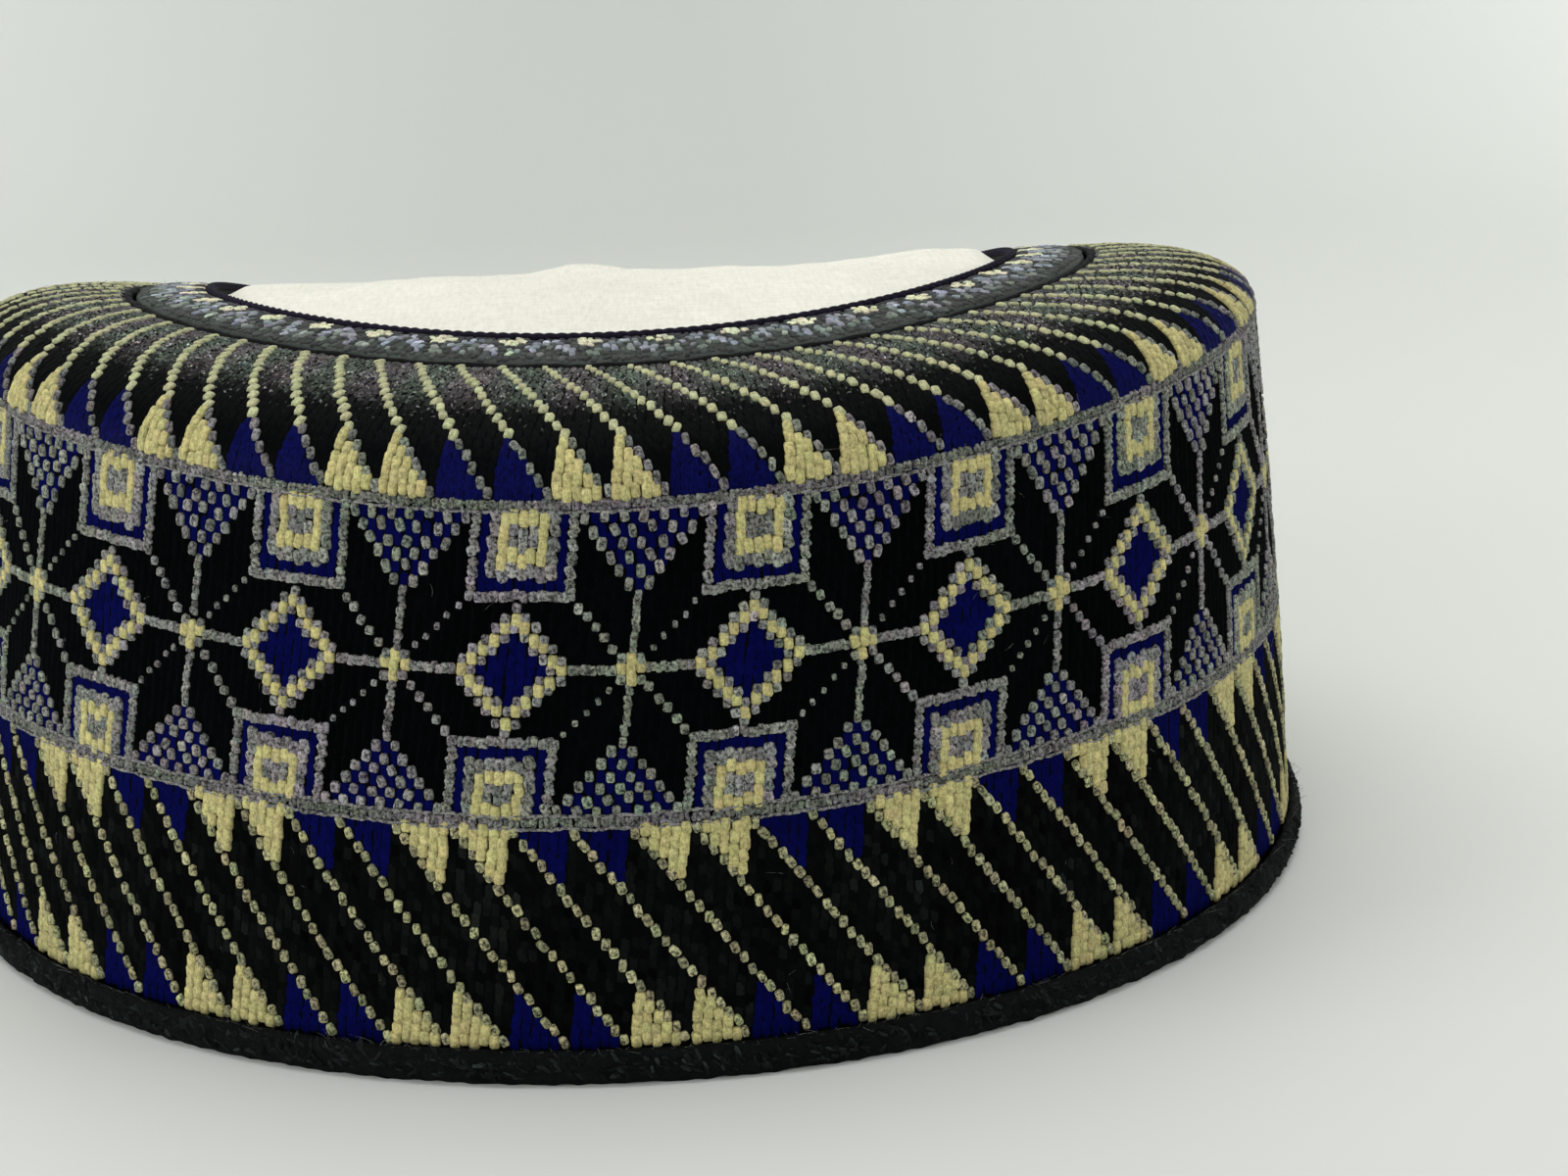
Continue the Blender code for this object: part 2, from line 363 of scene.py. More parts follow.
def tube_points(centre, radius, first, second, sides):
    """Points of a tube round a line of centres; first and second are square to the line."""
    swing = 2 * math.pi * np.arange(sides)[:, None] / sides
    around = np.cos(swing) * first[:, None] + np.sin(swing) * second[:, None]
    return (centre[:, None] + radius[:, None, None] * around).reshape(-1, 3)


def make_hoops(name, hoops, sides, material, colours=None):
    """Closed tubes as one piece; a hoop is its centres, radii and two directions."""
    stations = len(hoops[0][0])
    points = np.concatenate([tube_points(*hoop, sides) for hoop in hoops])
    starts = np.arange(len(hoops)) * stations * sides
    faces = copied_faces([grid_faces(stations, sides, closed=True)], starts)
    uvs = None if colours is None else np.zeros((len(points), 2))
    return new_object(name, points, faces, material, colours, uvs)


def make_band(name, loops, material):
    """A closed section carried round the cap, from its loops of points."""
    faces = [grid_faces(len(loops), len(loops[0]), closed=True)]
    return new_object(name, np.concatenate(loops), faces, material)


BEAD_SIDES = 8
BEAD_ROUNDING = 0.50
BEAD_TOP_SHARE = 0.78
BEAD_TOP_HEIGHT = 0.84


def bead_template():
    """A rounded pillow: two rings of points and one on top."""
    side = np.arange(BEAD_SIDES)
    swing = 2 * math.pi * (side + 0.5) / BEAD_SIDES
    outline = np.column_stack([np.cos(swing), np.sin(swing)])
    outline = np.sign(outline) * np.abs(outline) ** BEAD_ROUNDING
    outline /= np.abs(outline).max(axis=0)
    low = np.column_stack([outline, np.zeros(BEAD_SIDES)])
    high = np.column_stack([outline * BEAD_TOP_SHARE, np.full(BEAD_SIDES, BEAD_TOP_HEIGHT)])
    points = np.concatenate([low, high, [[0.0, 0.0, 1.0]]])
    after = (side + 1) % BEAD_SIDES
    quads = np.stack([side, after, after + BEAD_SIDES, side + BEAD_SIDES], axis=1)
    top = np.full(BEAD_SIDES, 2 * BEAD_SIDES)
    return points, [quads, np.stack([side + BEAD_SIDES, after + BEAD_SIDES, top], axis=1)]


def fleck_template():
    """A short run of thread: a six-sided outline with a ridge."""
    points = np.array([
        (-1.0, -0.55, 0.0), (0.0, -1.0, 0.0), (1.0, -0.55, 0.0), (1.0, 0.55, 0.0),
        (0.0, 1.0, 0.0), (-1.0, 0.55, 0.0), (0.0, -0.52, 1.0), (0.0, 0.52, 1.0),
    ])
    quads = np.array([(2, 3, 7, 6), (5, 0, 6, 7)])
    triangles = np.array([(0, 1, 6), (1, 2, 6), (3, 4, 7), (4, 5, 7)])
    return points, [quads, triangles]


def chip_template():
    """A speck of thread: a slanting four-sided outline with a point."""
    outline = [(-1.0, -0.4, 0.0), (0.3, -1.0, 0.0), (1.0, 0.4, 0.0), (-0.3, 1.0, 0.0)]
    points = np.array([*outline, (0.0, 0.0, 1.0)])
    return points, [np.array([(0, 1, 4), (1, 2, 4), (2, 3, 4), (3, 0, 4)])]


BEAD = bead_template()
FLECK = fleck_template()
CHIP = chip_template()

# How light a stitch's thread is painted at its foot, a painted shade where it meets the cloth, at the
# edge of its top, a painted highlight, and in the middle.
GREY_SHADE = [0.45] * BEAD_SIDES + [1.35] * BEAD_SIDES + [0.80]
CREAM_SHADE = [0.40] * BEAD_SIDES + [1.00] * BEAD_SIDES + [1.08]
LINE_SHADE = [0.55] * BEAD_SIDES + [1.10] * BEAD_SIDES + [0.95]
FLECK_SHADE = [0.60] * 6 + [1.12] * 2


STITCH_SINK = 0.00012


class Stitches:
    """Collects stitches of one template, then makes them one piece."""

    def __init__(self, template, seed, shade=1.0):
        self.points, self.faces = template
        self.shade = np.broadcast_to(shade, len(self.points))[:, None]
        self.random = np.random.default_rng(seed)
        self.rows = []

    def add(self, where, half_width, half_height, lift, tilt, colour):
        """where is the result of frames(); the others are arrays with a row for each stitch."""
        centre, east, north, out = where
        half_width, half_height, lift, tilt = (
            value[:, None, None] for value in (half_width, half_height, lift, tilt)
        )
        x = self.points[:, 0:1] * half_width
        y = self.points[:, 1:2] * half_height
        z = self.points[:, 2:3] * (lift + STITCH_SINK) - STITCH_SINK
        turned_x = x * np.cos(tilt) - y * np.sin(tilt)
        turned_y = x * np.sin(tilt) + y * np.cos(tilt)
        points = centre[:, None] + turned_x * east[:, None] + turned_y * north[:, None]
        points = points + z * out[:, None]
        uvs = 0.5 * self.points[:, :2] + self.random.uniform(0, 90, (len(centre), 1, 2))
        colours = colour[:, None] * self.shade
        self.rows.append((points.reshape(-1, 3), uvs.reshape(-1, 2), colours.reshape(-1, 3)))

    def make(self, name, slot, material):
        points, uvs, colours = (np.concatenate(part) for part in zip(*self.rows))
        faces = copied_faces(self.faces, np.arange(0, len(points), len(self.points)))
        new_object(name, points, faces, material, colours, uvs)


# Materials.


def new_material(name, roughness, specular, sheen=0.0):
    material = bpy.data.materials.new(name)
    material.use_nodes = True
    shader = material.node_tree.nodes["Principled BSDF"]
    shader.inputs["Roughness"].default_value = roughness
    shader.inputs["Specular IOR Level"].default_value = specular
    shader.inputs["Sheen Weight"].default_value = sheen
    shader.inputs["Sheen Roughness"].default_value = 0.5
    return material, material.node_tree, shader


def node(tree, kind, **values):
    """A new node; the values are its settings or the numbers at its inputs."""
    made = tree.nodes.new(kind)
    for key, value in values.items():
        if hasattr(made, key):
            setattr(made, key, value)
        else:
            made.inputs[key].default_value = value
    return made


def scaled(tree, source, scale):
    mapping = node(tree, "ShaderNodeMapping", Scale=scale)
    tree.links.new(source, mapping.inputs["Vector"])
    return mapping.outputs["Vector"]


def noise_texture(tree, vector, scale, detail, rough=0.5):
    made = node(tree, "ShaderNodeTexNoise", Scale=scale, Detail=detail, Roughness=rough)
    tree.links.new(vector, made.inputs["Vector"])
    return made.outputs["Fac"]


def ramp(tree, value, low, high, to_low, to_high):
    ends = {"From Min": low, "From Max": high, "To Min": to_low, "To Max": to_high}
    made = node(tree, "ShaderNodeMapRange", **ends)
    tree.links.new(value, made.inputs["Value"])
    return made.outputs["Result"]


def plain_colour(tree, colour):
    base = node(tree, "ShaderNodeRGB")
    base.outputs[0].default_value = (*colour, 1.0)
    return base.outputs[0]


def painted(tree, shader, colour, *greys):
    """Gives the shader a colour times some grey values."""
    for grey in greys:
        made = node(tree, "ShaderNodeVectorMath", operation="SCALE")
        tree.links.new(colour, made.inputs[0])
        tree.links.new(grey, made.inputs["Scale"])
        colour = made.outputs[0]
    tree.links.new(colour, shader.inputs["Base Color"])


def bumped(tree, shader, height, distance):
    made = node(tree, "ShaderNodeBump", Strength=0.6, Distance=distance)
    tree.links.new(height, made.inputs["Height"])
    tree.links.new(made.outputs["Normal"], shader.inputs["Normal"])


THREAD_RELIEF = 0.00025


def thread_material(name, roughness, specular, strands, contrast, speckle, sheen=0.0):
    """Stitched thread: fine strands run up each stitch, with lint and shade that vary."""
    material, tree, shader = new_material(name, roughness, specular, sheen)
    tint = node(tree, "ShaderNodeAttribute", attribute_name="tint").outputs["Color"]
    uv = node(tree, "ShaderNodeUVMap", uv_map="thread").outputs["UV"]
    place = node(tree, "ShaderNodeTexCoord").outputs["Object"]
    strand = noise_texture(tree, scaled(tree, uv, (strands, 1.1, 1)), 2.0, 2.0)
    lint = noise_texture(tree, place, 2400.0, 4.0, 0.75)
    shade = ramp(tree, strand, 0.32, 0.68, 1 - contrast, 1 + contrast)
    specks = ramp(tree, lint, 0.40, 0.56, 1 - speckle, 1 + 0.55 * speckle)
    painted(tree, shader, tint, shade, specks)
    bumped(tree, shader, strand, THREAD_RELIEF)
    return material


def cloth_material(name, colour, roughness, specular, weave, relief, mottle, sheen=0.0):
    """Plain woven cloth: fine threads two ways, slubs and soft patches of shade."""
    material, tree, shader = new_material(name, roughness, specular, sheen)
    place = node(tree, "ShaderNodeTexCoord").outputs["Object"]
    together = node(tree, "ShaderNodeMath", operation="ADD")
    for index, scale in enumerate(((weave, weave * 0.12, weave), (weave * 0.12, weave, weave))):
        threads = noise_texture(tree, scaled(tree, place, scale), 1.0, 2.0)
        tree.links.new(threads, together.inputs[index])
    patches = noise_texture(tree, place, 34.0, 3.0, 0.55)
    fine = ramp(tree, together.outputs[0], 0.7, 1.3, 1 - mottle, 1 + mottle)
    broad = ramp(tree, patches, 0.35, 0.65, 1 - 0.6 * mottle, 1 + 0.4 * mottle)
    painted(tree, shader, plain_colour(tree, colour), fine, broad)
    bumped(tree, shader, together.outputs[0], relief)
    return material


# For threads: roughness, specular level, strands across a stitch, contrast, speckle and sheen.
GROUND_THREAD = thread_material("black and blue thread", 0.80, 0.015, 5.0, 0.12, 0.20)
CREAM_THREAD = thread_material("cream thread", 0.66, 0.28, 5.0, 0.14, 0.34, 0.1)
GREY_THREAD = thread_material("grey thread", 0.60, 0.35, 5.0, 0.20, 0.95, 0.05)
SHOULDER_THREAD = thread_material("glossy black thread", 0.48, 0.03, 4.0, 0.20, 0.45)
RING_THREAD = thread_material("ring thread", 0.50, 0.4, 4.0, 0.20, 0.35)
BINDING_THREAD = thread_material("binding thread", 0.75, 0.08, 4.0, 0.25, 0.4)

# For cloths: colour, roughness, specular level, threads in a metre, relief, mottle and sheen.
WALL_CLOTH = cloth_material("black ground cloth", srgb(5, 6, 8), 0.9, 0.03, 2600.0, 0.0002, 0.3)
BINDING_FABRIC = cloth_material("black binding cloth", srgb(7, 9, 10), 0.75, 0.09, 1500.0, 0.0006, 0.6)
SEAM_CLOTH = cloth_material("dark seam cloth", srgb(7, 8, 10), 0.7, 0.1, 2600.0, 0.0002, 0.3)
RING_CLOTH = cloth_material("dark ring cloth", srgb(48, 56, 52), 0.6, 0.4, 2400.0, 0.0002, 0.4)
CORD_THREAD = cloth_material("dark cord", srgb(20, 14, 34), 0.7, 0.12, 3000.0, 0.0002, 0.4)
CROWN_CLOTH = cloth_material("cream cotton", srgb(241, 239, 228), 0.92, 0.2, 2300.0, 0.00016, 0.09, 0.1)

# Base colours of the threads.
CREAM = srgb(194, 185, 125)
CREAM_TOP = srgb(186, 187, 144)
GREY = srgb(120, 122, 116)
GREY_GREEN = srgb(112, 118, 104)
GREY_MAUVE = srgb(122, 117, 120)
BLUE = srgb(6, 10, 68)
BLACK = srgb(3, 4, 5)
LOWER_BLACK = srgb(9, 11, 10)
# Colours of the painted sheen on the glossy black shoulder thread: the lightness is painted highlight,
# the green and brown tints are the thread's own.
SHOULDER_SHEEN_GREEN = srgb(80, 88, 80)
SHOULDER_SHEEN_BROWN = srgb(86, 82, 84)


def slow_wave(turn, level, seed):
    """Smooth noise between -1 and 1 that closes round the cap."""
    random = np.random.default_rng(seed)
    total = np.zeros_like(turn)
    for _ in range(5):
        around = random.integers(3, 26)
        phase = 2 * math.pi * (around * turn + random.uniform())
        total += np.sin(phase + random.uniform(-5, 5) * level)
    return np.clip(total / 2.5, -1, 1)


def varied(random, base, count, spread, hue=0.03):
    """The base colour for each stitch, lighter or darker and a little off in hue."""
    value = np.exp(random.normal(0, spread, (count, 1)))
    return np.clip(base * value * (1 + random.normal(0, hue, (count, 3))), 0, 1)


# The embroidery.


def lower_symbols(row):
    """One repeat of the lower band's row, counted down from the lower line."""
    symbols = ["."] * REPEAT_COLUMNS
    for start, top, bottom in ((2, "c", "b"), (8, "c", "b"), (14, "b", "c"), (20, "b", "c")):
        for column in range(start + row + 1, start + 6):
            symbols[column % REPEAT_COLUMNS] = top
        for column in range(start + 14, start + row):
            symbols[column % REPEAT_COLUMNS] = bottom
        symbols[(start + row) % REPEAT_COLUMNS] = "B"
    return symbols


def upper_symbols(row):
    """One repeat of the upper band's row, counted up from the upper line."""
    symbols = ["."] * REPEAT_COLUMNS
    for start, colour in ((-9, "c"), (-3, "c"), (3, "b"), (9, "b")):
        for column in range(start, start + 5 - row):
            symbols[column % REPEAT_COLUMNS] = colour
        symbols[(start + 5 - row) % REPEAT_COLUMNS] = "B" if row <= 4 else "T"
    return symbols


def band_rows():
    """Every row of cells; share and height are parts of the band, above counts from the star."""
    rows = []
    total = sum(MIDDLE_HEIGHTS) + 2 * MIDDLE_LINE
    top = MIDDLE_LINE
    for index, height in enumerate(MIDDLE_HEIGHTS):
        share = 1 - (top + 0.5 * height) / total
        rows.append(Row("middle", share, height / total, STAR_ROW - index, MIDDLE_CHART[index]))
        top += height
    height = (1 - LINE_SHARE) / LOWER_ROWS
    for index in range(LOWER_ROWS):
        share = (LOWER_ROWS - index - 0.5) * height
        rows.append(Row("lower", share, height, -FIRST_PAST_LINE - index, lower_symbols(index)))
    height = (1 - LINE_SHARE) / UPPER_ROWS
    for index in range(UPPER_ROWS):
        share = LINE_SHARE + (index + 0.5) * height
        rows.append(Row("upper", share, height, FIRST_PAST_LINE + index, upper_symbols(index)))
    return rows


def cell_sizes(row, turn):
    """Half width and half height of the cells of a row, in metres."""
    low, level, high = (
        band_level(row.band, row.share + side * row.height, turn) for side in (-0.5, 0, 0.5)
    )
    upright = wall_points(turn, high) - wall_points(turn, low)
    step = 0.5 / COLUMNS
    level_run = wall_points(turn + step, level) - wall_points(turn - step, level)
    swell = 1 - PITCH_SWELL * np.cos(4 * math.pi * (turn - FRONT_TURN))
    half_width = 0.5 * np.linalg.norm(level_run, axis=1) * swell
    return half_width, 0.5 * np.linalg.norm(upright, axis=1)


# What a symbol looks like: family of thread, stitches in a cell side by side and one above the
# other, share of the cell's width and height, lift in mm, tilt in degrees.
STITCHES = {
    ".": Look("ground", 1, 1, 1.35, 1.90, 0.07, 0),
    "b": Look("ground", 1, 1, 1.42, 2.00, 0.08, 0),
    "c": Look("pale", 1, 1, 1.16, 1.46, 0.38, 0),
    "g": Look("grey", 1, 1, 1.04, 1.10, 0.38, 0),
    "q": Look("grey", 1, 1, 1.24, 1.40, 0.36, 14),
    "o": Look("grey", 1, 1, 1.14, 1.30, 0.30, 0),
    "D": Look("grey", 1, 1, 1.02, 1.10, 0.40, 0),
    "d": Look("grey", 1, 1, 0.62, 0.74, 0.34, 0),
    "B": Look("grey", 1, 1, 0.95, 1.22, 0.38, 14),
    "T": Look("pale", 1, 1, 1.14, 1.22, 0.33, 0),
    "|": Look("grey", 1, 2, 0.78, 1.60, 0.34, 0),
    "-": Look("grey", 2, 1, 1.50, 1.04, 0.36, 0),
    "=": Look("grey", 2, 1, 1.50, 1.10, 0.36, 0),
    "!": Look("grey", 1, 2, 0.98, 1.60, 0.36, 24),
}


def drifting_grey(mood):
    return GREY_GREEN * (0.5 + 0.5 * mood) + GREY_MAUVE * (0.5 - 0.5 * mood)


def shoulder_sheen_tint(turn):
    """Colour of the painted sheen and glints on the shoulder, in greenish and brownish stretches that
    take turns round it.
    """
    side = 0.5 + 0.5 * np.sin(2 * math.pi * REPEATS * 2 * turn + 1.1)[:, None]
    return SHOULDER_SHEEN_GREEN * side + SHOULDER_SHEEN_BROWN * (1 - side)


def stitch_colours(symbol, band, random, turn, level):
    count = len(turn)
    if symbol == "b":
        return varied(random, BLUE, count, 0.08, 0.01)
    if symbol in "cT":
        return varied(random, CREAM_TOP if symbol == "T" else CREAM, count, 0.07, 0.02)
    mood = slow_wave(turn, level, 11)[:, None]
    if symbol == "." and band == "lower":
        return varied(random, LOWER_BLACK * (1 + 0.4 * mood), count, 0.50)
    if symbol == ".":
        base = BLACK * (1 + 0.25 * mood)
        if band == "upper":
            # Towards the seam the black ground is painted lighter, a painted sheen of the glossy thread
            # where the shoulder turns up to the light.
            over = np.clip((shoulder_share(turn, level) - 0.46) / 0.26, 0, 1)[:, None]
            sheen = varied(random, shoulder_sheen_tint(turn), count, 0.30)
            base = base * (1 - over) + sheen * 0.95 * over
        return varied(random, base, count, 0.15)
    base = drifting_grey(mood)
    if band == "lower" and symbol == "B":
        base = 0.48 * GREY_GREEN + 0.36 * CREAM
    if band == "upper" and symbol == "B":
        base = 0.82 * base
    return varied(random, base, count, 0.20, 0.04)


def marked_columns(symbols, symbol, repeats):
    """The columns round the cap where a repeated row of symbols holds this one."""
    cells = [index for index, mark in enumerate(symbols) if mark == symbol]
    return np.add.outer(np.arange(repeats) * len(symbols), cells).ravel()


def sew_cells(stitches, row, symbol, random):
    """Sews each of a row's cells that holds this symbol."""
    look = STITCHES[symbol]
    cells = marked_columns(row.symbols, symbol, REPEATS)
    column = cells + SHEAR * row.above
    half_width, half_height = cell_sizes(row, column_turn(column))
    count = len(column)
    apart = 0.18 if symbol in "gdDBT" else 0.09
    for left, low in product(range(look.beside), range(look.stacked)):
        sideways = (left + 0.5) / look.beside - 0.5 + random.normal(0, 0.07, count)
        upwards = (low + 0.5) / look.stacked - 0.5 + random.normal(0, 0.09, count)
        if symbol in ".bcqo":
            upwards += 0.25 * (cells % 2 - 0.5)
        turn = column_turn(column + sideways)
        last, level, following = (
            band_level(row.band, row.share + side * row.height, turn) for side in (-1, 0, 1)
        )
        level = level + upwards * np.where(upwards > 0, following - level, level - last)
        tilt = np.radians(look.tilt + random.normal(0, 55 * apart, count))
        wide = half_width / look.beside * look.wide * random.uniform(1 - apart, 1.06, count)
        high = half_height / look.stacked * look.high * random.uniform(1 - apart, 1.06, count)
        lift = 0.001 * look.lift * random.uniform(0.85, 1.15, count)
        colour = stitch_colours(symbol, row.band, random, turn, level)
        stitches.add(wall_frames(turn, level), wide, high, lift, tilt, colour)


# For each family of thread: its stitches' template, painted shade and highlight, and material.
THREADS = {
    "ground": (FLECK, 1.0, GROUND_THREAD),
    "pale": (BEAD, CREAM_SHADE, CREAM_THREAD),
    "grey": (BEAD, GREY_SHADE, GREY_THREAD),
}


def make_embroidery():
    """Sews the three bands; each family of thread in a band is a piece."""
    random = np.random.default_rng(5)
    sets = {}
    for row in band_rows():
        for symbol in sorted(set(row.symbols)):
            thread = STITCHES[symbol].thread
            name = thread + "_stitches_" + row.band
            if name not in sets:
                template, shade, material = THREADS[thread]
                sets[name] = Stitches(template, len(sets) + 20, shade), material
            sew_cells(sets[name][0], row, symbol, random)
    for name, (stitches, material) in sets.items():
        glossy = name == "ground_stitches_upper"
        stitches.make(name, "embroidered_wall", SHOULDER_THREAD if glossy else material)


def make_glints():
    """Loose, fine stitches over the upper part of the shoulder, coloured as a painted highlight on the
    glossy thread, with dark ones as painted shade between them.
    """
    stitches = Stitches(CHIP, 45)
    random = np.random.default_rng(46)
    count = 24000
    turn = random.uniform(0, 1, count)
    share = random.triangular(0.34, 0.78, 1.0, count)
    runs = SHOULDER_RUNS[(turn * len(TABLE_TURNS)).astype(int)]
    level = np.array([np.interp(part, run, TABLE_LEVELS) for part, run in zip(share, runs)])
    colour = varied(random, 1.75 * shoulder_sheen_tint(turn), count, 0.50, 0.05)
    # A third are painted dark, painted shade in the crevices between the glints.
    dark_share, dark = 0.33, 0.06
    colour *= np.where(random.uniform(0, 1, count) < dark_share, dark, 1.0)[:, None]
    # The glints are painted lighter towards the seam, a painted highlight where the shoulder turns up to
    # the light.
    colour *= (0.25 + 0.75 * np.clip((share - 0.40) / 0.22, 0, 1))[:, None]
    stitches.add(
        wall_frames(turn, level),
        random.uniform(0.00011, 0.00029, count),
        random.uniform(0.00020, 0.00058, count),
        random.uniform(0.00010, 0.00026, count),
        np.radians(random.normal(-20, 34, count)),
        colour,
    )
    stitches.make("shoulder_glints", "embroidered_wall", SHOULDER_THREAD)


def make_lines():
    """The two narrow lines between the bands: tiny upright stitches, and crumbs of thread on them."""
    random = np.random.default_rng(41)
    # Stitches, how many to a column, half width, half height, lift, scatter up and down, and lean.
    kinds = {
        "line_stitches": (Stitches(BEAD, 40, LINE_SHADE), 2, 0.00034, 0.0007, 0.0003, 0.0015, 11),
        "line_crumbs": (Stitches(FLECK, 42, FLECK_SHADE), 3, 0.00022, 0.0003, 0.00042, 0.012, 60),
    }
    for line_level in (1.0, 2.0):
        for stitches, dense, wide, high, lift, scatter, lean in kinds.values():
            count = dense * COLUMNS
            column = (np.arange(count) + random.normal(0, 0.22, count)) / dense
            turn = column_turn(column)
            level = line_level + random.uniform(-scatter, scatter, count)
            base = drifting_grey(slow_wave(turn, level, 12 + int(line_level))[:, None])
            stitches.add(
                wall_frames(turn, level),
                wide * random.uniform(0.7, 1.25, count),
                high * random.uniform(0.75, 1.1, count),
                lift * random.uniform(0.8, 1.15, count),
                np.radians(random.normal(0, lean, count)),
                varied(random, base, count, 0.24, 0.04),
            )
    for name, (stitches, *_) in kinds.items():
        stitches.make(name, "embroidered_wall", GREY_THREAD)


# The line that each edge thread runs along, and how far above its middle.
EDGE_THREADS = ((2.0, -0.00072), (1.0, 0.00074), (1.0, -0.00074))
EDGE_THREAD_RADIUS = 0.00021
EDGE_THREAD_LIFT = 0.00016


def make_edge_threads():
    """Smooth couched threads along the edges of the two lines."""
    random = np.random.default_rng(43)
    stations, sides = 1200, 5
    turn = turns_round(stations)
    hoops, colours = [], []
    for index, (line_level, above) in enumerate(EDGE_THREADS):
        centre, _, north, out = wall_frames(turn, line_level)
        sway = 0.00010 * slow_wave(turn * 6, turn, 50 + index)
        sway += 0.00005 * random.normal(0, 1, stations)
        centre = centre + (above + sway)[:, None] * north + EDGE_THREAD_LIFT * out
        radius = EDGE_THREAD_RADIUS * (1 + 0.12 * random.normal(0, 1, stations))
        hoops.append((centre, radius, north, out))
        tints = varied(random, 0.5 * GREY + 0.5 * GREY_MAUVE, stations, 0.12)
        colours.append(np.repeat(tints, sides, axis=0))
    tints = np.concatenate(colours)
    make_hoops("line_edge_threads", hoops, sides, GREY_THREAD, tints)


# The cloth pieces and cords.


WALL_CLOTH_SINK = 0.00004


def make_wall():
    """The wall's own cloth: the black ground under the stitches and the plain inner face."""
    turn = turns_round(360)
    outer, inner = [], []
    for level in (*np.linspace(0, 2, 22, endpoint=False), *np.linspace(2, 3, 20)):
        point, _, _, out = wall_frames(turn, level)
        outer.append(point - WALL_CLOTH_SINK * out)
        inner.append(point - WALL_THICKNESS * out)
    inner[0][:, 2] = WALL_FOOT
    inner[-1][:, 2] = np.minimum(inner[-1][:, 2], outer[-1][:, 2] - 0.5 * WALL_THICKNESS)
    wall = make_band("wall_cloth", outer + inner[::-1], WALL_CLOTH)
    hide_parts("side_wall")


RING_HEM_SHARE = 0.07
RING_CLOTH_SINK = 0.0001
RING_LUMP = 0.00004


def make_ring():
    """The flat ring inside the seam, with its two edges rounded."""
    turn = turns_round(600)
    loops = []
    for share in np.linspace(0, 1, 19):
        inside_hem = min(min(share, 1 - share) / RING_HEM_SHARE, 1)
        drop = 0.45 * RING_THICKNESS * (1 - math.sqrt(1 - (1 - inside_hem) ** 2))
        lump = RING_LUMP * slow_wave(turn * 5, share, 60)
        up = RING_CROWNING * math.sin(math.pi * share) - drop + lump - RING_CLOTH_SINK
        loops.append(seam_offset(turn, RING_START + RING_WIDTH * share, up))
    for share in (1.0, 0.66, 0.33, 0.0):
        loops.append(seam_offset(turn, RING_START + RING_WIDTH * share, -RING_THICKNESS))
    ring = make_band("ring_cloth", loops, RING_CLOTH)
    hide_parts("crown_ring")


# One repeat of the ring, from its inner edge out: c cream, b grey blue, g grey green,
# p dark purple and . dark green.
# The first row, along the cord, is mostly dark purple: partly the purple thread, partly painted shade
# beside the cord.
RING_CHART = """
pp.cc.pppp
..ccccp.bb
bp.cc..bb.
bb..p.bb.g
.bb.gg.b.g
..b.gg..g.
..........
""".split()
RING_REPEATS = 41
RING_ROWS = (0.92, 0.79, 0.66, 0.53, 0.40, 0.27, 0.13)


def make_ring_stitches():
    stitches = Stitches(BEAD, 62, LINE_SHADE)
    random = np.random.default_rng(63)
    colours = {
        "c": (srgb(226, 225, 192), 0.12),
        "b": (srgb(146, 152, 164), 0.34),
        "g": (srgb(116, 126, 118), 0.38),
        ".": (srgb(38, 44, 42), 0.75),
        "p": (srgb(24, 20, 34), 0.30),
    }
    pitch = 1 / (RING_REPEATS * len(RING_CHART[0]))
    for share, symbols in zip(RING_ROWS, RING_CHART):
        for symbol in sorted(set(symbols)):
            column = marked_columns(symbols, symbol, RING_REPEATS)
            missing = 0.0 if symbol == "." else 0.12
            column = column[random.uniform(0, 1, len(column)) > missing]
            count = len(column)
            turn = (column + random.normal(0, 0.14, count)) * pitch
            place = share + random.normal(0, 0.014, count)
            base, spread = colours[symbol]
            thick = 0.00010 if symbol in ".p" else 0.00017
            stitches.add(
                frames(ring_points, turn, place, 0, 1),
                0.00046 * random.uniform(0.65, 1.2, count),
                -0.00070 * random.uniform(0.65, 1.15, count),
                thick * random.uniform(0.7, 1.3, count),
                np.radians(random.normal(0, 24, count)),
                varied(random, base, count, spread, 0.05),
            )
    stitches.make("ring_stitches", "embroidered_ring", RING_THREAD)


FOLD_RADIUS = 0.40 * PIPING_DIAMETER
FOLD_SINK = 0.62 * PIPING_DIAMETER


def make_seam_fold():
    """The folded black edge between shoulder and ring."""
    turn = turns_round(840)
    sway = 0.00010 * slow_wave(turn * 4, turn, 70)
    along = GAP + 0.5 * PIPING_DIAMETER + sway
    centre, inward, upward = seam_frame(turn, along, PIPING_PROUD - FOLD_SINK + 0.5 * sway)
    radius = FOLD_RADIUS * (1 + 0.12 * slow_wave(turn * 9, turn, 71))
    hoop = (centre, radius, inward, upward)
    fold = make_hoops("seam_fold_roll", [hoop], 8, SEAM_CLOTH)
    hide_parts("seam_piping")


CORD_TWISTS = 120
PLY_OFFSET = 0.10 * CORD_DIAMETER
PLY_RADIUS = 0.41 * CORD_DIAMETER


def make_cord():
    """Two plies twisted round each other along the ring's inner edge."""
    turn = turns_round(1500)
    along = RING_START + RING_WIDTH + GAP + 0.5 * CORD_DIAMETER
    centre, inward, upward = seam_frame(turn, along, CORD_PROUD - 0.5 * CORD_DIAMETER)
    hoops = []
    for ply in range(2):
        phase = 2 * math.pi * (CORD_TWISTS * turn + 0.5 * ply)[:, None]
        middle = centre + PLY_OFFSET * (np.cos(phase) * inward + np.sin(phase) * upward)
        hoops.append((middle, np.full(len(turn), PLY_RADIUS), inward, upward))
    cord = make_hoops("inner_cord_plies", hoops, 6, CORD_THREAD)
    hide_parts("inner_cord")


